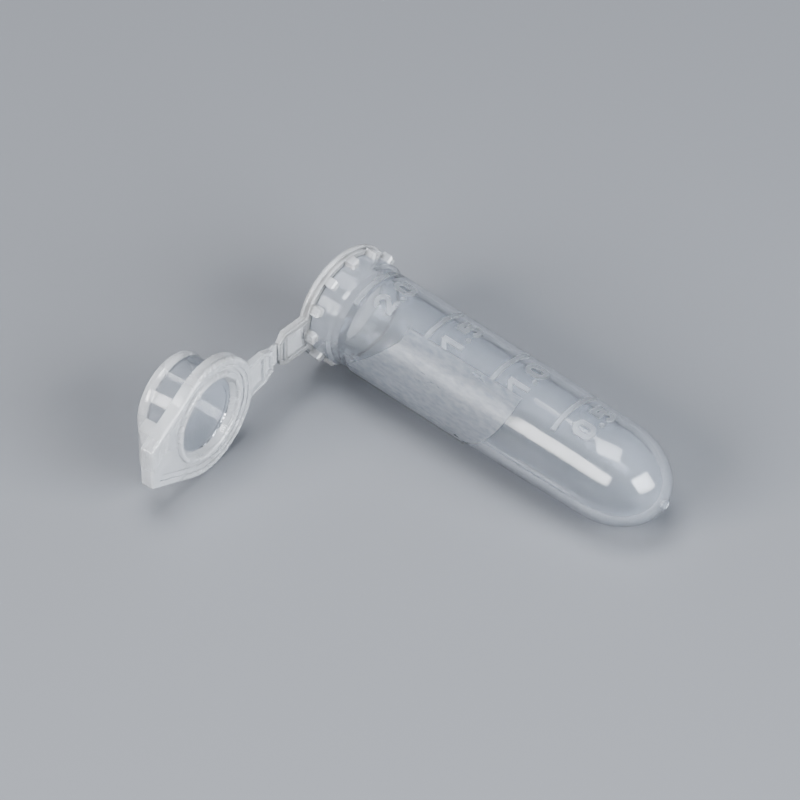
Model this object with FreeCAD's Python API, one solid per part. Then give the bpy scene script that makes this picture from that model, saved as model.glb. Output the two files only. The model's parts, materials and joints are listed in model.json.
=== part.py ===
"""Two-millilitre snap-cap microcentrifuge tube, lying on its side with the cap open.

Frame, in millimetres: the origin is the centre of the mouth. +X points out of the mouth along the
tube's axis, +Y points across the mouth to the hinge strap, and +Z is up.
"""
import FreeCAD, Part
import math
import os

Vec = FreeCAD.Vector

# Barrel, measured along the tube's axis from the mouth
TUBE_LENGTH = 42.2            # mouth to the tip of the round bottom
BARREL_RADIUS = 5.3
BARREL_FOOT_RADIUS = 5.18     # where the round bottom starts
STRAIGHT_END = 27.0           # the walls draw in slightly beyond this depth
DOME_HEIGHT = 7.25
BORE_RADIUS = 4.3
BORE_FOOT_RADIUS = 4.2
FLOOR_THICKNESS = 1.05
GATE_RADIUS = 0.5             # mark of the injection point on the tip
GATE_HEIGHT = 0.35
GATE_ROOT = 0.6

# Neck and mouth
NECK_RADIUS = 5.58
NECK_END = 3.3
NECK_STEP_END = 3.65
MOUTH_RADIUS = 5.44
LEAD_IN_DEPTH = 0.4
LEAD_IN_RADIUS = 5.38
THROAT_DEPTH = 1.9            # halfway down the curve on which the bore narrows to its seat
THROAT_RADIUS = 5.27
SEAL_DEPTH = 3.6              # the cap's bead seals here
SEAL_RADIUS = 4.98
SEAT_END = 4.45
SHOULDER_END = 5.1

# Collar
FLANGE_RADIUS = 6.21
FLANGE_THICKNESS = 0.55
FLANGE_EDGE = 0.2
RING_RADIUS = 6.05
RING_END = 1.08
TOOTH_COUNT = 12
TOOTH_LENGTH = 1.2
TOOTH_WIDTH = 1.0
TOOTH_RADIUS = 6.3
TOOTH_EDGE = 0.18             # bevel round each tooth's free end

# Raised marks on the barrel
RELIEF = 0.1
TOP_LINE_DEPTH = 4.78
LINE_SPACING = 8.62
LINE_WIDTH = 0.5
LINE_HALF_ANGLE = 34.0
LINE_LABELS = ("2_0", "1_5", "1_0", "0_5")
DIGIT_HEIGHT = 2.5
DIGIT_WIDTH = 1.7
DIGIT_STROKE = 0.52
FLAG_DEPTH = 1.2              # strokes of the "1" flag: how deep it is, and how far it drops and
FLAG_DROP = 1.2               # reaches to the side
FLAG_REACH = 1.4
TWO_TURN = 35.0               # degrees that the bow of the "2" runs on past level
TWO_START = 170.0
TWO_SLOPE_FOOT = 0.9          # strokes
FIVE_BOW_SHARE = 0.52         # of the digit's width
FIVE_BOW_START = -145.0
FIVE_BOW_END = 135.0
FIVE_POST_SHARE = 0.6         # of the bow's radius, above the bow's middle
FIVE_TOP_SHARE = 0.94         # of the digit's width
DIGIT_DROP = 1.4              # from a line down to the top of its number
DIGIT_OFFSET = 1.42           # from the decimal point out to each digit's middle
POINT_RADIUS = 0.27

# Writing panel: angles run round the barrel from the hinge side towards the top. Each curved end
# goes through three points, (depth, place across as a share of the panel's half width)
PANEL_FIRST_ANGLE = -45.0
PANEL_LAST_ANGLE = 66.0
PANEL_TOP_CURVE = ((5.7, 0.52), (8.97, -0.14), (11.35, -0.76))
PANEL_FOOT_CURVE = ((25.9, -0.68), (24.5, 0.0), (20.6, 0.72))
PANEL_FOOT_CORNER = 20.0

# Hinge strap
HINGE_DISTANCE = 10.46        # hinge axis to the tube's axis, and to the cap's axis
OPEN_PAST_FLAT = 5.6          # degrees the open cap lies beyond straight
TUBE_ARM_TOP = 0.25           # each arm's mouth-side face below the mouth plane
CAP_ARM_TOP = 0.55
ARM_HALF_WIDTH = 1.98
ARM_WAIST_HALF_WIDTH = 1.35
ARM_ROOT = 5.0                # where the strap's blanks start, inside the flange
TUBE_ARM_TAPER = 1.0
TUBE_ARM_SLOPE = 0.3          # the tube's arm thins by this much over its taper
TUBE_WEB_THICKNESS = 0.5
TUBE_BORDER_HEIGHT = 0.34
CAP_ARM_TAPER = 1.3
CAP_WEB_THICKNESS = 0.32
CAP_BORDER_HEIGHT = 0.34
CAP_ARM_FLARE = 0.2
BORDER_WIDTH = 0.44
CROSS_RIB_WIDTH = 0.26
TUBE_FILM_LENGTH = 0.64       # the film reaches this far from the hinge axis towards the tube
CAP_FILM_LENGTH = 0.59        # and this far towards the cap
FILM_TOP = 0.55
FILM_THICKNESS = 0.2
FILM_GAP = 0.04

# Cap, drawn about its own centre: +X towards the plug, +Y away from the hinge
CAP_GAP = 0.05                # closed cap above the mouth
CAP_RADIUS = 6.48
CAP_THICKNESS = 1.02
CAP_RIM_HEIGHT = 0.36
CAP_RIM_WIDTH = 0.72
CAP_RIM_FRONT_SHARE = 1.5     # the rim is this many times wider across the tab's front
CAP_RIM_CORNER_SHARE = 0.45   # and its inner corners move in by this share of its width
LEDGE_WIDTH = 0.45            # low step between the rim and the pocket
LEDGE_HEIGHT = 0.18
CAP_RIM_EDGE = 0.26            # rounding of the rim's outer edge
TAB_REACH = 9.33
TAB_HALF_WIDTH = 2.4
TAB_CORNER = 0.35
DISH_RADIUS = 4.25
MEMBRANE_RADIUS = 3.9
MEMBRANE_TOP = 0.05
MEMBRANE_THICKNESS = 0.5
MEMBRANE_STEP_RADIUS = 3.3
MEMBRANE_STEP = 0.1
LIP_OUTER_RADIUS = 5.0
LIP_HEIGHT = 0.34
LUG_INNER_RADIUS = 6.6
LUG_ROOT = 5.28               # where the lug's blank starts, inside its curved inner face
LUG_ROOT_HALF_WIDTH = 3.1
LUG_FRONT_HALF_WIDTH = 1.4
LUG_HEIGHT = 2.0
LUG_FRONT = 8.85
LUG_SLOPE_RUN = 1.65

# Plug under the cap
PLUG_BORE_RADIUS = 3.95
PLUG_ROOT_RADIUS = 4.6
PLUG_NECK_RADIUS = 4.72
SKIRT_LENGTH = 3.1
BEAD_RADIUS = 4.9
BEAD_CENTRE = 3.55
PLUG_LENGTH = 4.3
PLUG_TIP_RADIUS = 4.55
PLUG_MOUTH_RADIUS = 4.2

REACH = 20.0                  # longer than any feature that a tool solid has to cut through
TOLERANCE = 1e-3


def polygon(points):
    """Closed wire of straight edges through the points."""
    return Part.makePolygon(points + [points[0]])


def revolve(profile):
    """Solid swept by a closed wire of (depth, radius) points round the tube's axis."""
    return Part.Face(profile).revolve(Vec(0, 0, 0), Vec(1, 0, 0), 360)


def turned(points):
    """Solid of revolution about X from straight-sided (x, radius) points."""
    return revolve(polygon([Vec(x, r, 0) for x, r in points]))


def cylinder(radius, start, length):
    """Cylinder on the X axis."""
    return Part.makeCylinder(radius, length, Vec(start, 0, 0), Vec(1, 0, 0))


def slab(outline, start, thickness):
    """Plate of a closed (y, z) outline, from x = start towards +X."""
    face = Part.Face(outline)
    face.translate(Vec(start, 0, 0))
    return face.extrude(Vec(thickness, 0, 0))


def tip_arc(centre, height, radius):
    """Quarter ellipse from the axis at a round bottom's tip to the full radius."""
    ellipse = Part.Ellipse(Vec(centre - height, 0, 0), Vec(centre, radius, 0), Vec(centre, 0, 0))
    return Part.ArcOfEllipse(ellipse, 0, math.pi / 2).toShape()


def chain(points):
    """Open run of straight edges."""
    return [Part.LineSegment(a, b).toShape() for a, b in zip(points, points[1:])]


# ---------------------------------------------------------------- barrel


def make_mouth_cavity():
    """Space inside the mouth, from above the flange down through the curved throat to the seal."""
    throat = Part.Arc(
        Vec(-LEAD_IN_DEPTH, LEAD_IN_RADIUS, 0),
        Vec(-THROAT_DEPTH, THROAT_RADIUS, 0),
        Vec(-SEAL_DEPTH, SEAL_RADIUS, 0),
    )
    edges = [throat.toShape()]
    edges += chain([
        throat.EndPoint,
        Vec(-SEAT_END, SEAL_RADIUS, 0),
        Vec(-SHOULDER_END, BORE_RADIUS, 0),
        Vec(-SHOULDER_END, 0, 0),
        Vec(0, 0, 0),
        Vec(0, MOUTH_RADIUS, 0),
        throat.StartPoint,
    ])
    return revolve(Part.Wire(Part.__sortEdges__(edges)))


def make_barrel():
    """Hollow wall from under the collar to the round bottom."""
    dome_start = -(TUBE_LENGTH - DOME_HEIGHT)
    inner_height = DOME_HEIGHT - FLOOR_THICKNESS
    outside = [
        Vec(-RING_END, BORE_RADIUS, 0),
        Vec(-RING_END, NECK_RADIUS, 0),
        Vec(-NECK_END, NECK_RADIUS, 0),
        Vec(-NECK_STEP_END, BARREL_RADIUS, 0),
        Vec(-STRAIGHT_END, BARREL_RADIUS, 0),
        Vec(dome_start, BARREL_FOOT_RADIUS, 0),
    ]
    inside = [
        Vec(dome_start, BORE_FOOT_RADIUS, 0),
        Vec(-STRAIGHT_END, BORE_RADIUS, 0),
        outside[0],
    ]
    tip = [Vec(-TUBE_LENGTH, 0, 0), Vec(dome_start - inner_height, 0, 0)]
    edges = chain(outside)
    edges.append(tip_arc(dome_start, DOME_HEIGHT, BARREL_FOOT_RADIUS))
    edges += chain(tip)
    edges.append(tip_arc(dome_start, inner_height, BORE_FOOT_RADIUS))
    edges += chain(inside)
    return revolve(Part.Wire(Part.__sortEdges__(edges))).cut(make_mouth_cavity())


def make_gate_nub(barrel):
    """Small round mark that stands on the tip."""
    stub = cylinder(GATE_RADIUS, -(TUBE_LENGTH + GATE_HEIGHT), GATE_HEIGHT + GATE_ROOT)
    pieces = stub.cut(barrel).Solids
    return min(pieces, key=lambda piece: piece.BoundBox.XMin)


def barrel_core(growth):
    """Solid bounded by the barrel's outside, grown outwards, that the raised marks stand on."""
    dome_start = -(TUBE_LENGTH - DOME_HEIGHT)
    return turned([
        (-NECK_STEP_END, 0),
        (-NECK_STEP_END, BARREL_RADIUS + growth),
        (-STRAIGHT_END, BARREL_RADIUS + growth),
        (dome_start, BARREL_FOOT_RADIUS + growth),
        (dome_start, 0),
    ])


def raised_mark(stencil):
    """Part of a stencil solid that stands on the barrel's wall, one relief thick."""
    return stencil.common(barrel_core(RELIEF)).cut(barrel_core(0))


def panel_point(depth, share, half):
    """Point of the panel's flat stencil."""
    return Vec(-depth, share * half, 0)


def make_writing_panel():
    """Frosted panel, with its long curved ends, wrapped round the hinge side of the barrel."""
    middle = (PANEL_FIRST_ANGLE + PANEL_LAST_ANGLE) / 2
    half_span = math.radians((PANEL_LAST_ANGLE - PANEL_FIRST_ANGLE) / 2)
    half = (BARREL_RADIUS + RELIEF / 2) * math.sin(half_span)
    top_curve = Part.Arc(*[panel_point(depth, share, half) for depth, share in PANEL_TOP_CURVE])
    foot_curve = Part.Arc(*[panel_point(depth, share, half) for depth, share in PANEL_FOOT_CURVE])
    edges = [top_curve.toShape(), foot_curve.toShape()]
    edges += chain([
        top_curve.EndPoint,
        Vec(top_curve.EndPoint.x, -half, 0),
        Vec(foot_curve.StartPoint.x, -half, 0),
        foot_curve.StartPoint,
    ])
    edges += chain([
        foot_curve.EndPoint,
        Vec(-PANEL_FOOT_CORNER, half, 0),
        Vec(top_curve.StartPoint.x, half, 0),
        top_curve.StartPoint,
    ])
    stencil = Part.Face(Part.Wire(Part.__sortEdges__(edges))).extrude(Vec(0, 0, REACH))
    stencil.rotate(Vec(0, 0, 0), Vec(1, 0, 0), middle - 90)
    return raised_mark(stencil)


# ---------------------------------------------------------------- graduations


def line_depth(index):
    """Depth of a graduation line below the mouth."""
    return TOP_LINE_DEPTH + LINE_SPACING * index


def make_graduation_line(index):
    """Raised line across the top of the barrel."""
    half = BARREL_RADIUS * math.sin(math.radians(LINE_HALF_ANGLE))
    corner = Vec(-line_depth(index) - LINE_WIDTH / 2, -half, 0)
    return raised_mark(Part.makeBox(LINE_WIDTH, 2 * half, REACH, corner))


def bar(left, bottom, width, height):
    """Upright rectangular stroke of a digit, in the digit's own (across, up) plane."""
    return Part.makeBox(width, height, REACH, Vec(left, bottom, 0))


def bow(across, up, radius, first, last):
    """Curved stroke of a digit: part of a ring between two angles."""
    inner = radius - DIGIT_STROKE
    return Part.makeCylinder(radius, REACH, Vec(across, up, 0), Vec(0, 0, 1), last - first).cut(
        Part.makeCylinder(inner, REACH, Vec(across, up, 0))
    ).rotated(Vec(across, up, 0), Vec(0, 0, 1), first)


def digit_0():
    radius = DIGIT_WIDTH / 2
    straight = DIGIT_HEIGHT - DIGIT_WIDTH
    strokes = [
        bow(radius, radius, radius, 180, 360),
        bow(radius, DIGIT_HEIGHT - radius, radius, 0, 180),
        bar(0, radius, DIGIT_STROKE, straight),
        bar(DIGIT_WIDTH - DIGIT_STROKE, radius, DIGIT_STROKE, straight),
    ]
    return strokes


def digit_1():
    stem = DIGIT_WIDTH / 2
    tip = stem - FLAG_REACH * DIGIT_STROKE
    tip_top = DIGIT_HEIGHT - FLAG_DROP * DIGIT_STROKE
    depth = FLAG_DEPTH * DIGIT_STROKE
    flag = polygon([
        Vec(stem, DIGIT_HEIGHT, 0),
        Vec(stem, DIGIT_HEIGHT - depth, 0),
        Vec(tip, tip_top - depth, 0),
        Vec(tip, tip_top, 0),
    ])
    strokes = [bar(stem, 0, DIGIT_STROKE, DIGIT_HEIGHT)]
    strokes.append(Part.Face(flag).extrude(Vec(0, 0, REACH)))
    return strokes


def digit_2():
    radius = DIGIT_WIDTH / 2
    centre_up = DIGIT_HEIGHT - radius
    inner = radius - DIGIT_STROKE
    end_across = math.cos(math.radians(TWO_TURN))
    end_up = math.sin(math.radians(TWO_TURN))
    slope = polygon([
        Vec(radius + radius * end_across, centre_up - radius * end_up, 0),
        Vec(radius + inner * end_across, centre_up - inner * end_up, 0),
        Vec(0, DIGIT_STROKE / 2, 0),
        Vec(TWO_SLOPE_FOOT * DIGIT_STROKE, 0, 0),
    ])
    strokes = [bow(radius, centre_up, radius, -TWO_TURN, TWO_START)]
    strokes.append(Part.Face(slope).extrude(Vec(0, 0, REACH)))
    strokes.append(bar(0, 0, DIGIT_WIDTH, DIGIT_STROKE))
    return strokes


def digit_5():
    radius = FIVE_BOW_SHARE * DIGIT_WIDTH
    across = DIGIT_WIDTH - radius
    post_foot = radius + FIVE_POST_SHARE * radius - DIGIT_STROKE / 2
    strokes = [
        bow(across, radius, radius, FIVE_BOW_START, FIVE_BOW_END),
        bar(0, post_foot, DIGIT_STROKE, DIGIT_HEIGHT - post_foot),
        bar(0, DIGIT_HEIGHT - DIGIT_STROKE, FIVE_TOP_SHARE * DIGIT_WIDTH, DIGIT_STROKE),
    ]
    return strokes


DIGITS = {"0": digit_0, "1": digit_1, "2": digit_2, "5": digit_5}


def fused(shapes):
    """One solid out of overlapping ones."""
    return shapes[0].multiFuse(shapes[1:]).removeSplitter()


def set_on_barrel(stencil, across, foot):
    """Turns a stencil drawn (across, up) so that it reads with the mouth up, on top of the barrel."""
    turned_stencil = stencil.copy()
    turned_stencil.rotate(Vec(0, 0, 0), Vec(0, 0, 1), -90)
    turned_stencil.translate(Vec(foot, -across, 0))
    return turned_stencil


def make_numerals(index, label):
    """Raised number under a graduation line: two digits and the decimal point."""
    foot = -(line_depth(index) + DIGIT_DROP + DIGIT_HEIGHT)
    solids = []
    for character, side in zip(label.split("_"), (-1, 1)):
        stencil = fused(DIGITS[character]())
        left = side * DIGIT_OFFSET - DIGIT_WIDTH / 2
        solids += raised_mark(set_on_barrel(stencil, left, foot)).Solids
    point = Part.makeCylinder(POINT_RADIUS, REACH, Vec(0, POINT_RADIUS, 0))
    solids += raised_mark(set_on_barrel(point, 0, foot)).Solids
    return Part.Compound(solids)


# ---------------------------------------------------------------- collar


def make_mouth_flange():
    """Thin disc with a rounded edge round the mouth."""
    disc = cylinder(FLANGE_RADIUS, -FLANGE_THICKNESS, FLANGE_THICKNESS)
    rims = [edge for edge in disc.Edges if edge.BoundBox.XLength < FLANGE_EDGE]
    return disc.makeFillet(FLANGE_EDGE, rims).cut(make_mouth_cavity())


def make_collar_ring():
    """Step behind the flange that carries the teeth."""
    disc = cylinder(RING_RADIUS, -RING_END, RING_END - FLANGE_THICKNESS)
    return disc.cut(make_mouth_cavity())


def make_collar_teeth():
    """Ring of blocks under the collar, one of them in line with the hinge."""
    end = -(RING_END + TOOTH_LENGTH)
    band = turned([
        (-RING_END, NECK_RADIUS),
        (-RING_END, TOOTH_RADIUS),
        (end + TOOTH_EDGE, TOOTH_RADIUS),
        (end, TOOTH_RADIUS - TOOTH_EDGE),
        (end, NECK_RADIUS),
    ])
    half = TOOTH_WIDTH / 2
    blank = Part.Face(polygon([
        Vec(-RING_END, 0, -half),
        Vec(end + TOOTH_EDGE, 0, -half),
        Vec(end, 0, TOOTH_EDGE - half),
        Vec(end, 0, half - TOOTH_EDGE),
        Vec(end + TOOTH_EDGE, 0, half),
        Vec(-RING_END, 0, half),
    ])).extrude(Vec(0, REACH, 0))
    tooth = band.common(blank)
    step = 360 / TOOTH_COUNT
    return Part.Compound([
        tooth.rotated(Vec(0, 0, 0), Vec(1, 0, 0), step * index) for index in range(TOOTH_COUNT)
    ])


# ---------------------------------------------------------------- hinge strap


def strap_outline(end, shoulder, root, root_half_width, inset):
    """Half of the strap, from its waist by the film out to its root, as a (y, z) wire."""
    waist = ARM_WAIST_HALF_WIDTH - inset
    wide = ARM_HALF_WIDTH - inset
    start = end + math.copysign(inset / 2, root - end)
    return polygon([
        Vec(0, start, -waist),
        Vec(0, shoulder, -wide),
        Vec(0, root, -root_half_width + inset),
        Vec(0, root, root_half_width - inset),
        Vec(0, shoulder, wide),
        Vec(0, start, waist),
    ])


def strap_arm(end, shoulder, root, root_half_width, top, web_thickness, border_height):
    """Web of one strap arm, and the border with its cross rib that stands on the web's outer face."""
    face = -(top + web_thickness)
    outline = strap_outline(end, shoulder, root, root_half_width, 0)
    pocket_outline = strap_outline(end, shoulder, root, root_half_width, BORDER_WIDTH)
    web = slab(outline, face, web_thickness)
    blank = slab(outline, face - border_height, border_height)
    pocket = slab(pocket_outline, face - border_height, border_height)
    corner = Vec(-REACH, shoulder - CROSS_RIB_WIDTH / 2, -REACH)
    rib = Part.makeBox(REACH, CROSS_RIB_WIDTH, 2 * REACH, corner)
    return web, blank.cut(pocket.cut(rib))


def film_half(start, end):
    """Part of the thin film that the cap folds on."""
    corner = Vec(-(FILM_TOP + FILM_THICKNESS), start, -ARM_WAIST_HALF_WIDTH)
    return Part.makeBox(FILM_THICKNESS, end - start, 2 * ARM_WAIST_HALF_WIDTH, corner)


def make_tube_side_strap(collar):
    """Arm, border and film half that stay with the tube, trimmed to the collar's outside."""
    end = HINGE_DISTANCE - TUBE_FILM_LENGTH
    shoulder = end - TUBE_ARM_TAPER
    web, border = strap_arm(
        end, shoulder, ARM_ROOT, ARM_HALF_WIDTH, TUBE_ARM_TOP, TUBE_WEB_THICKNESS, TUBE_BORDER_HEIGHT,
    )
    slope = Part.Face(polygon([
        Vec(-TUBE_ARM_TOP, shoulder, -REACH),
        Vec(-(TUBE_ARM_TOP + TUBE_ARM_SLOPE), end, -REACH),
        Vec(-TUBE_ARM_TOP, end, -REACH),
    ])).extrude(Vec(0, 0, 2 * REACH))
    return {
        "tube_hinge_arm": web.cut(slope).cut(collar),
        "tube_arm_border": border.cut(collar),
        "hinge_film_tube_half": film_half(end, HINGE_DISTANCE - FILM_GAP),
    }


def make_cap_side_strap(cap):
    """Arm, border and film half that move with the cap, trimmed to its edge, with the strap straight."""
    end = HINGE_DISTANCE + CAP_FILM_LENGTH
    shoulder = end + CAP_ARM_TAPER
    root = 2 * HINGE_DISTANCE - ARM_ROOT
    root_half_width = ARM_HALF_WIDTH + CAP_ARM_FLARE
    web, border = strap_arm(
        end, shoulder, root, root_half_width, CAP_ARM_TOP, CAP_WEB_THICKNESS, CAP_BORDER_HEIGHT,
    )
    return {
        "cap_hinge_arm": web.cut(cap),
        "cap_arm_border": border.cut(cap),
        "hinge_film_cap_half": film_half(HINGE_DISTANCE + FILM_GAP, end),
    }


# ---------------------------------------------------------------- cap


def cap_outline(inset):
    """The cap's outline as a (y, z) wire: a circle drawn out to a straight-fronted tab."""
    radius = CAP_RADIUS - inset
    reach = TAB_REACH - inset * CAP_RIM_FRONT_SHARE
    half = TAB_HALF_WIDTH - inset * CAP_RIM_CORNER_SHARE
    corner_angle = math.atan2(half, reach)
    tangent_angle = corner_angle + math.acos(radius / math.hypot(reach, half))
    touch = Vec(0, radius * math.cos(tangent_angle), radius * math.sin(tangent_angle))
    back = Vec(0, -radius, 0)
    mirror_touch = Vec(0, touch.y, -touch.z)
    corner = Vec(0, reach, half)
    mirror_corner = Vec(0, reach, -half)
    edges = [Part.Arc(touch, back, mirror_touch).toShape()]
    edges += chain([mirror_touch, mirror_corner, corner, touch])
    return Part.Wire(Part.__sortEdges__(edges))


def cap_slab(inset, start, thickness):
    """Plate with the cap's outline and rounded tab corners."""
    plate = slab(cap_outline(inset), start, thickness)
    corners = [
        edge for edge in plate.Edges
        if edge.BoundBox.YMin > TAB_REACH - inset * CAP_RIM_FRONT_SHARE - TOLERANCE
        and edge.BoundBox.XLength > thickness - TOLERANCE
    ]
    return plate.makeFillet(TAB_CORNER, corners)


def make_cap_plate():
    """Disc of the cap with the sloped well of the dish; the tab is cut off at the circle."""
    disc = cylinder(CAP_RADIUS, -CAP_THICKNESS, CAP_THICKNESS)
    well = turned([
        (0, 0),
        (0, MEMBRANE_RADIUS),
        (-(MEMBRANE_TOP + MEMBRANE_THICKNESS), MEMBRANE_RADIUS),
        (-CAP_THICKNESS, DISH_RADIUS),
        (-CAP_THICKNESS, 0),
    ])
    return disc.cut(well)


def make_thumb_tab():
    """Tab opposite the hinge that a thumb lifts."""
    plate = cap_slab(0, -CAP_THICKNESS, CAP_THICKNESS)
    pieces = plate.cut(cylinder(CAP_RADIUS, -REACH, 2 * REACH)).Solids
    return max(pieces, key=lambda piece: piece.Volume)


def make_cap_rim():
    """Low raised rim that follows the cap's outline, with a step down to the shallow pocket."""
    start = -(CAP_THICKNESS + CAP_RIM_HEIGHT)
    rim = cap_slab(0, start, CAP_RIM_HEIGHT)
    outer_edges = [edge for edge in rim.Edges if edge.BoundBox.XMax < start + TOLERANCE]
    rim = rim.makeFillet(CAP_RIM_EDGE, outer_edges)
    rim = rim.cut(cap_slab(CAP_RIM_WIDTH, start, CAP_RIM_HEIGHT - LEDGE_HEIGHT))
    return rim.cut(cap_slab(CAP_RIM_WIDTH + LEDGE_WIDTH, start, CAP_RIM_HEIGHT))


def make_dish_lip():
    """Rounded ring that stands round the dish."""
    middle = (LIP_OUTER_RADIUS + DISH_RADIUS) / 2
    half = (LIP_OUTER_RADIUS - DISH_RADIUS) / 2
    crest = Part.Arc(
        Vec(-CAP_THICKNESS, DISH_RADIUS, 0),
        Vec(-(CAP_THICKNESS + LIP_HEIGHT), middle, 0),
        Vec(-CAP_THICKNESS, middle + half, 0),
    )
    base = Part.LineSegment(crest.EndPoint, crest.StartPoint)
    return revolve(Part.Wire([crest.toShape(), base.toShape()]))


def make_cap_membrane():
    """Thin floor of the dish, thinner in the middle, which closes the plug and can be pierced."""
    outer_face = -(MEMBRANE_TOP + MEMBRANE_THICKNESS)
    disc = cylinder(MEMBRANE_RADIUS, outer_face, MEMBRANE_THICKNESS)
    return disc.cut(cylinder(MEMBRANE_STEP_RADIUS, outer_face, MEMBRANE_STEP))


def make_plug_skirt():
    """Hollow skirt that goes into the mouth, slimmer at its root."""
    return turned([
        (0, PLUG_BORE_RADIUS),
        (0, PLUG_ROOT_RADIUS),
        (SKIRT_LENGTH, PLUG_NECK_RADIUS),
        (SKIRT_LENGTH, PLUG_BORE_RADIUS),
    ])


def make_seal_bead():
    """Rounded bead round the plug's end that seals in the mouth bore."""
    crest = Part.Arc(
        Vec(SKIRT_LENGTH, PLUG_NECK_RADIUS, 0),
        Vec(BEAD_CENTRE, BEAD_RADIUS, 0),
        Vec(PLUG_LENGTH, PLUG_TIP_RADIUS, 0),
    )
    rest = chain([
        crest.EndPoint,
        Vec(PLUG_LENGTH, PLUG_MOUTH_RADIUS, 0),
        Vec(SKIRT_LENGTH, PLUG_BORE_RADIUS, 0),
        crest.StartPoint,
    ])
    return revolve(Part.Wire([crest.toShape()] + rest))


def make_tab_lug():
    """Wedge under the tab that comes down past the collar when the cap is shut."""
    blank = slab(polygon([
        Vec(0, LUG_ROOT, -LUG_ROOT_HALF_WIDTH),
        Vec(0, LUG_FRONT, -LUG_FRONT_HALF_WIDTH),
        Vec(0, LUG_FRONT, LUG_FRONT_HALF_WIDTH),
        Vec(0, LUG_ROOT, LUG_ROOT_HALF_WIDTH),
    ]), 0, LUG_HEIGHT)
    slope = Part.Face(polygon([
        Vec(0, LUG_FRONT, -REACH),
        Vec(LUG_HEIGHT, LUG_FRONT - LUG_SLOPE_RUN, -REACH),
        Vec(LUG_HEIGHT, REACH, -REACH),
        Vec(0, REACH, -REACH),
    ])).extrude(Vec(0, 0, 2 * REACH))
    return blank.cut(slope).cut(cylinder(LUG_INNER_RADIUS, -REACH, 2 * REACH))


def straight_cap(shape):
    """Moves a cap part from the cap's own frame to where it lies with the strap straight."""
    moved = shape.copy()
    moved.translate(Vec(-CAP_GAP, 2 * HINGE_DISTANCE, 0))
    return moved


def opened(shape):
    """Swings a part of the cap's side past straight, about the hinge axis."""
    moved = shape.copy()
    moved.rotate(Vec(0, HINGE_DISTANCE, 0), Vec(0, 0, 1), OPEN_PAST_FLAT)
    return moved


# ---------------------------------------------------------------- assembly


def make_tube_parts():
    """Every part that stays with the tube."""
    barrel = make_barrel()
    flange = make_mouth_flange()
    panel = make_writing_panel()
    parts = {
        "barrel": barrel,
        "gate_nub": make_gate_nub(barrel),
        "mouth_flange": flange,
        "collar_ring": make_collar_ring(),
        "collar_teeth": make_collar_teeth(),
        "writing_panel": panel,
    }
    inside = cylinder(RING_RADIUS, -REACH, 2 * REACH)
    parts.update(make_tube_side_strap(inside.fuse(flange)))
    for index, label in enumerate(LINE_LABELS):
        parts["graduation_line_" + label] = make_graduation_line(index).cut(panel)
        parts["numerals_" + label] = make_numerals(index, label).cut(panel)
    return parts


def make_cap_parts():
    """Every part that moves with the cap."""
    parts = {
        "cap_plate": make_cap_plate(),
        "thumb_tab": make_thumb_tab(),
        "cap_rim": make_cap_rim(),
        "dish_lip": make_dish_lip(),
        "cap_membrane": make_cap_membrane(),
        "plug_skirt": make_plug_skirt(),
        "seal_bead": make_seal_bead(),
        "tab_lug": make_tab_lug(),
    }
    parts = {name: straight_cap(shape) for name, shape in parts.items()}
    inside = straight_cap(cylinder(CAP_RADIUS, -REACH, 2 * REACH))
    parts.update(make_cap_side_strap(inside))
    return {name: opened(shape) for name, shape in parts.items()}


def main():
    os.makedirs("parts", exist_ok=True)
    parts = make_tube_parts()
    parts.update(make_cap_parts())
    for name, shape in parts.items():
        print(name, "solids", len(shape.Solids), "valid", shape.isValid(), "mm3", round(shape.Volume, 3))
        shape.exportStep("parts/" + name + ".step")


main()
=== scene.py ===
"""Looks for the snap-cap microcentrifuge tube: materials, the folding film of its hinge, light and camera."""

import json
import math

import bmesh
import bpy
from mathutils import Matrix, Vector


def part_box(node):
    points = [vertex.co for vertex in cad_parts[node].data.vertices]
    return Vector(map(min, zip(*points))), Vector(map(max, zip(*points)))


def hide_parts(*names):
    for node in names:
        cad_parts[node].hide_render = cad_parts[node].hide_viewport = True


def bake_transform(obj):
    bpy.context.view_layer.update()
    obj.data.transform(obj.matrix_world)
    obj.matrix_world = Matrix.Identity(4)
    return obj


MM = 0.001

# Camera, fitted to the object's outline
CAMERA_AZIMUTH = 222.66
CAMERA_ELEVATION = 43.93
CAMERA_DISTANCE = 743.4 * MM
CAMERA_TARGET = Vector((-13.72, 2.94, 0.0)) * MM
TARGET_RIGHT_OF_CENTRE = 2.209 * MM
TARGET_ABOVE_CENTRE = 1.972 * MM
LENS_MM = 344.07
SENSOR_WIDTH_MM = 36.0
CLIP_START = 0.01
CLIP_END = 20.0

# Floor, through the three places the object rests on
CAP_CONTACT = Vector((-2.0, 20.5, -6.5)) * MM
COLLAR_CONTACT = Vector((-2.1, 0.0, -6.3)) * MM
BOTTOM_CONTACT = Vector((-35.0, 0.0, -5.2)) * MM
FLOOR_HALF_WIDTH = 3.0
FLOOR_COLOUR = (0.22, 0.23, 0.25, 1.0)
FLOOR_ROUGHNESS = 0.55

# Faint light from all round
WORLD_COLOUR = (0.80, 0.84, 0.90, 1.0)
WORLD_STRENGTH = 0.04

# Folding film of the hinge
STRAIGHT_DEG = 180.0          # joint travel from a strap laid out straight to a shut cap
FILM_ROWS = 36
CREASE_WIDTH = 0.1 * MM
CREASE_DEPTH = 0.08 * MM
EAR_WIDTH = 0.3 * MM
EAR_REACH = 0.12 * MM

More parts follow.
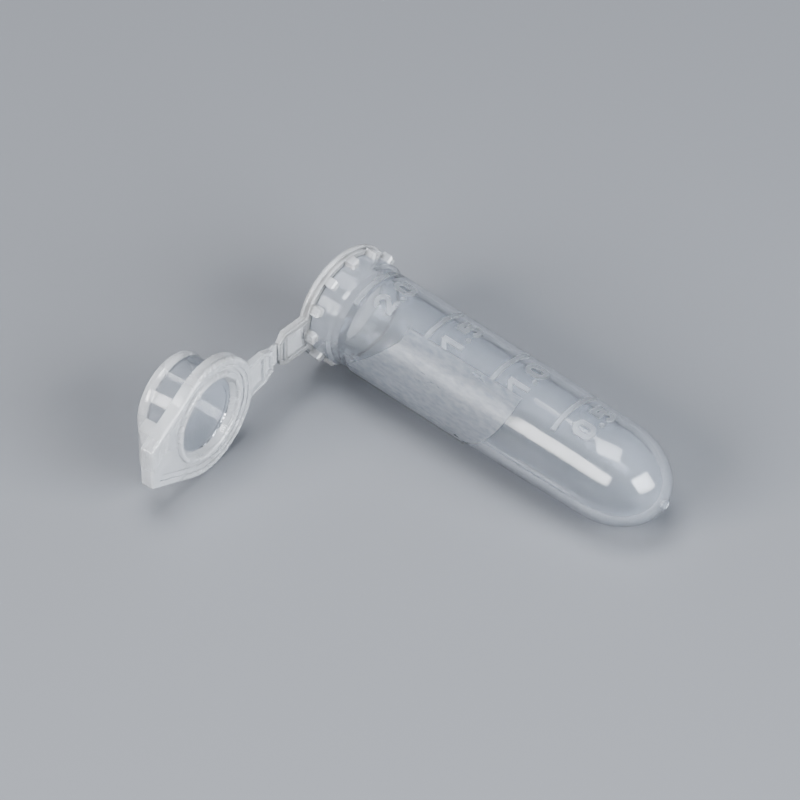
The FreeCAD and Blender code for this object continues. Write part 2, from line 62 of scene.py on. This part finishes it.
# Natural polypropylene; a stretch below 1 draws the pattern out along X
REFRACTIVE_INDEX = 1.49
CLOUD_DETAIL = 4.0
CLOUD_STRETCH = (0.35, 1.0, 1.0)
CLARITY_LOSS = 0.05           # in the cloudiest places
CLARITY_GAIN = 0.03           # in the clearest places
WEAR_SCALE = 900.0
WEAR_DETAIL = 5.0
WEAR_STRETCH = (0.2, 1.0, 1.0)
SMOOTHEST = 0.8               # times the material's roughness
ROUGHEST = 1.25
GRAIN_DETAIL = 2.0
GRAIN_STRENGTH = 0.6

# Most of a noise texture lies between these values
NOISE_LOW = 0.3
NOISE_HIGH = 0.7

# Colour sockets of the Mix node, which share their names with its other sockets
MIX_COLOUR_A = 6
MIX_COLOUR_B = 7
MIX_COLOUR_RESULT = 2

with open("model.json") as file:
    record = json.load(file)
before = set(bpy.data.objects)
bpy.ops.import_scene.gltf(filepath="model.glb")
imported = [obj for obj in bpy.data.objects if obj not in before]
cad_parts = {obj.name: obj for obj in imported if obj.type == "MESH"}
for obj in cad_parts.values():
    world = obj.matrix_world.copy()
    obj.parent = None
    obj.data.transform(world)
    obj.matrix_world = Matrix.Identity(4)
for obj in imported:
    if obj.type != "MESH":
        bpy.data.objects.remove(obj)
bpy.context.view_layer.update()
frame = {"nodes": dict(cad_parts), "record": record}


# ---------------------------------------------------------------- materials


class Nodes:
    """Small wrapper that adds and joins shader nodes."""

    def __init__(self, material):
        self.tree = material.node_tree
        self.tree.nodes.clear()

    def add(self, kind, **values):
        node = self.tree.nodes.new(kind)
        for name, value in values.items():
            setattr(node, name, value)
        return node

    def join(self, source, target):
        self.tree.links.new(source, target)

    def noise(self, scale, detail, stretch=(1.0, 1.0, 1.0)):
        """Fractal noise in the part's own coordinates; scale is in features per metre."""
        place = self.add("ShaderNodeTexCoord")
        mapping = self.add("ShaderNodeMapping")
        mapping.inputs["Scale"].default_value = stretch
        texture = self.add("ShaderNodeTexNoise")
        texture.inputs["Scale"].default_value = scale
        texture.inputs["Detail"].default_value = detail
        self.join(place.outputs["Object"], mapping.inputs["Vector"])
        self.join(mapping.outputs["Vector"], texture.inputs["Vector"])
        return texture.outputs["Fac"]

    def spread(self, source, low, high):
        """Maps a noise value onto the range low to high."""
        change = self.add("ShaderNodeMapRange")
        change.inputs["From Min"].default_value = NOISE_LOW
        change.inputs["From Max"].default_value = NOISE_HIGH
        change.inputs["To Min"].default_value = low
        change.inputs["To Max"].default_value = high
        self.join(source, change.inputs["Value"])
        return change.outputs["Result"]


def plastic(name, tint, cloud, clarity, roughness, cloud_scale, grain_scale, grain_height):
    """Natural polypropylene: refracts, with a faint cloudiness, uneven gloss and a fine surface grain."""
    material = bpy.data.materials.new(name)
    material.use_nodes = True
    nodes = Nodes(material)
    output = nodes.add("ShaderNodeOutputMaterial")
    surface = nodes.add("ShaderNodeBsdfPrincipled")
    surface.inputs["IOR"].default_value = REFRACTIVE_INDEX

    clouds = nodes.noise(cloud_scale, CLOUD_DETAIL, CLOUD_STRETCH)
    colour = nodes.add("ShaderNodeMix", data_type="RGBA")
    colour.inputs[MIX_COLOUR_A].default_value = (*cloud, 1.0)
    colour.inputs[MIX_COLOUR_B].default_value = (*tint, 1.0)
    nodes.join(nodes.spread(clouds, 0.0, 1.0), colour.inputs["Factor"])
    nodes.join(colour.outputs[MIX_COLOUR_RESULT], surface.inputs["Base Color"])
    clearness = nodes.spread(clouds, clarity - CLARITY_LOSS, clarity + CLARITY_GAIN)
    nodes.join(clearness, surface.inputs["Transmission Weight"])

    wear = nodes.noise(WEAR_SCALE, WEAR_DETAIL, WEAR_STRETCH)
    gloss = nodes.spread(wear, roughness * SMOOTHEST, roughness * ROUGHEST)
    nodes.join(gloss, surface.inputs["Roughness"])

    bump = nodes.add("ShaderNodeBump")
    bump.inputs["Distance"].default_value = grain_height
    bump.inputs["Strength"].default_value = GRAIN_STRENGTH
    nodes.join(nodes.noise(grain_scale, GRAIN_DETAIL), bump.inputs["Height"])
    nodes.join(bump.outputs["Normal"], surface.inputs["Normal"])

    nodes.join(surface.outputs["BSDF"], output.inputs["Surface"])
    return material


MATERIALS = {
    "clear_pp": plastic(
        "clear_polypropylene",
        tint=(0.90, 0.93, 0.97),
        cloud=(0.84, 0.88, 0.94),
        clarity=0.93,
        roughness=0.10,
        cloud_scale=120.0,
        grain_scale=500.0,
        grain_height=0.01 * MM,
    ),
    "milky_pp": plastic(
        "milky_polypropylene",
        tint=(0.95, 0.965, 0.98),
        cloud=(0.90, 0.92, 0.95),
        clarity=0.74,
        roughness=0.12,
        cloud_scale=200.0,
        grain_scale=900.0,
        grain_height=0.01 * MM,
    ),
    "frosted_pp": plastic(
        "frosted_polypropylene",
        tint=(0.92, 0.94, 0.97),
        cloud=(0.58, 0.62, 0.68),
        clarity=0.90,
        roughness=0.33,
        cloud_scale=3000.0,
        grain_scale=6000.0,
        grain_height=0.004 * MM,
    ),
    "raised_mark": plastic(
        "raised_polypropylene",
        tint=(0.88, 0.90, 0.93),
        cloud=(0.78, 0.81, 0.85),
        clarity=0.89,
        roughness=0.32,
        cloud_scale=900.0,
        grain_scale=6000.0,
        grain_height=0.02 * MM,
    ),
}


def dress_cad_parts():
    """Gives every CAD part the material of its slot in the record."""
    for part in frame["record"]["subparts"]:
        mesh = frame["nodes"][part["node"]].data
        for index in range(len(mesh.materials)):
            mesh.materials[index] = MATERIALS[part["material_slot"]]


# ---------------------------------------------------------------- hinge film


def cap_hinge_joint():
    """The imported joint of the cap: its position, and how far past straight the open cap lies."""
    joint = next(joint for joint in frame["record"]["behaviour"]["joints"] if joint["name"] == "cap_hinge")
    past_straight = math.radians(joint["range_deg"][1] - STRAIGHT_DEG)
    return Vector(joint["pos_m"]), past_straight


def ramp(value, half_width):
    """Smooth step from 0 to 1 as a value runs through zero."""
    share = min(max(0.5 + value / (2.0 * half_width), 0.0), 1.0)
    return share * share * (3.0 - 2.0 * share)


def film_ring(along, tube_low, tube_high, hinge_y, past_straight):
    """Four corners of the film, at a distance along it from the fold; the hinge axis lies at x = 0."""
    crease = math.exp(-(along / CREASE_WIDTH) ** 2)
    ear = math.exp(-(along / EAR_WIDTH) ** 2)
    half = tube_high.z - EAR_REACH * (1.0 - ear)
    inner = tube_high.x
    outer = tube_low.x + CREASE_DEPTH * crease
    bend = past_straight * ramp(along, CREASE_WIDTH)
    corners = []
    for x, z in ((inner, -half), (inner, half), (outer, half), (outer, -half)):
        corners.append((
            x * math.cos(bend) - along * math.sin(bend),
            hinge_y + x * math.sin(bend) + along * math.cos(bend),
            z,
        ))
    return corners


def closed_strip(name, rings):
    """Closed mesh through a row of rings, capped at both ends."""
    strip = bmesh.new()
    rows = [[strip.verts.new(corner) for corner in ring] for ring in rings]
    for row, next_row in zip(rows, rows[1:]):
        for side in range(len(row)):
            following = (side + 1) % len(row)
            strip.faces.new((row[side], row[following], next_row[following], next_row[side]))
    strip.faces.new(reversed(rows[0]))
    strip.faces.new(rows[-1])
    bmesh.ops.recalc_face_normals(strip, faces=strip.faces)
    mesh = bpy.data.meshes.new(name)
    strip.to_mesh(mesh)
    strip.free()
    return mesh


def make_hinge_web():
    """The thin film that folds: one strip between the arms, with a crease and a small ear at each side."""
    hinge, past_straight = cap_hinge_joint()
    tube_low, tube_high = (Vector(corner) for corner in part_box("hinge_film_tube_half"))
    cap_high = Vector(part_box("hinge_film_cap_half")[1])
    start = tube_low.y - hinge.y
    # Known flaw: the strip stops 0.13 mm short of the cap's arm. To reach it, this line
    # should subtract tube_high.x * math.sin(past_straight) and add nothing.
    end = (cap_high.y - hinge.y + tube_low.x * math.sin(past_straight)) / math.cos(past_straight)
    rings = []
    for row in range(FILM_ROWS + 1):
        along = start + (end - start) * row / FILM_ROWS
        rings.append(film_ring(along, tube_low, tube_high, hinge.y, past_straight))
    web = bpy.data.objects.new("hinge_web", closed_strip("hinge_web", rings))
    web.data.materials.append(MATERIALS["milky_pp"])
    bpy.context.collection.objects.link(web)
    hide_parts("hinge_film_tube_half", "hinge_film_cap_half")
    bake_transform(web)


# ---------------------------------------------------------------- stage


def camera_axes():
    """Directions to the camera's right, up and back."""
    azimuth = math.radians(CAMERA_AZIMUTH)
    elevation = math.radians(CAMERA_ELEVATION)
    back = Vector((
        math.sin(azimuth) * math.cos(elevation),
        -math.cos(azimuth) * math.cos(elevation),
        math.sin(elevation),
    ))
    right = Vector((math.cos(azimuth), math.sin(azimuth), 0.0))
    return right, back.cross(right), back


def make_camera():
    """Long-lens camera that looks down at the object, with its target a little off centre."""
    right, up, back = camera_axes()
    aim = CAMERA_TARGET - TARGET_RIGHT_OF_CENTRE * right - TARGET_ABOVE_CENTRE * up
    data = bpy.data.cameras.new("camera")
    data.sensor_width = SENSOR_WIDTH_MM
    data.lens = LENS_MM
    data.clip_start = CLIP_START
    data.clip_end = CLIP_END
    camera = bpy.data.objects.new("camera", data)
    camera.location = aim + CAMERA_DISTANCE * back
    camera.rotation_euler = back.to_track_quat("Z", "Y").to_euler()
    bpy.context.collection.objects.link(camera)
    bpy.context.scene.camera = camera


def make_floor():
    """Large flat floor through the three places that the object rests on."""
    across = CAP_CONTACT - COLLAR_CONTACT
    along = BOTTOM_CONTACT - COLLAR_CONTACT
    normal = across.cross(along).normalized()
    half = FLOOR_HALF_WIDTH
    corners = [(-half, -half, 0), (half, -half, 0), (half, half, 0), (-half, half, 0)]
    data = bpy.data.meshes.new("floor")
    data.from_pydata(corners, [], [(0, 1, 2, 3)])
    floor = bpy.data.objects.new("floor", data)
    floor.location = COLLAR_CONTACT
    floor.rotation_euler = normal.to_track_quat("Z", "Y").to_euler()
    bpy.context.collection.objects.link(floor)
    material = bpy.data.materials.new("floor")
    material.use_nodes = True
    surface = material.node_tree.nodes["Principled BSDF"]
    surface.inputs["Base Color"].default_value = FLOOR_COLOUR
    surface.inputs["Roughness"].default_value = FLOOR_ROUGHNESS
    data.materials.append(material)


def add_area_light(name, azimuth, elevation, distance, size, power, colour):
    """Softbox that faces the object; its azimuth runs from +X towards +Y."""
    data = bpy.data.lights.new(name, "AREA")
    data.shape = "RECTANGLE"
    data.size, data.size_y = size
    data.energy = power
    data.color = colour
    light = bpy.data.objects.new(name, data)
    around = math.radians(azimuth)
    above = math.radians(elevation)
    towards = Vector((
        math.cos(above) * math.cos(around),
        math.cos(above) * math.sin(around),
        math.sin(above),
    ))
    light.location = CAMERA_TARGET + distance * towards
    light.rotation_euler = towards.to_track_quat("Z", "Y").to_euler()
    bpy.context.collection.objects.link(light)


def make_lights():
    """Key from the cap's side, fill from beyond the round bottom, one from above, and a faint surround."""
    add_area_light(
        "key", azimuth=82.8, elevation=29.0, distance=0.6,
        size=(0.48, 0.28), power=4.0, colour=(1.0, 0.98, 0.96),
    )
    add_area_light(
        "fill", azimuth=180.0, elevation=27.0, distance=0.6,
        size=(0.50, 0.36), power=6.0, colour=(0.96, 0.98, 1.0),
    )
    add_area_light(
        "top", azimuth=20.0, elevation=82.0, distance=0.9,
        size=(0.5, 0.5), power=5.0, colour=(0.97, 0.98, 1.0),
    )
    world = bpy.data.worlds.new("studio")
    world.use_nodes = True
    background = world.node_tree.nodes["Background"]
    background.inputs["Color"].default_value = WORLD_COLOUR
    background.inputs["Strength"].default_value = WORLD_STRENGTH
    bpy.context.scene.world = world
    bpy.context.scene.view_settings.look = "AgX - High Contrast"


# ---------------------------------------------------------------- put together

dress_cad_parts()
make_hinge_web()
make_floor()
make_lights()
make_camera()
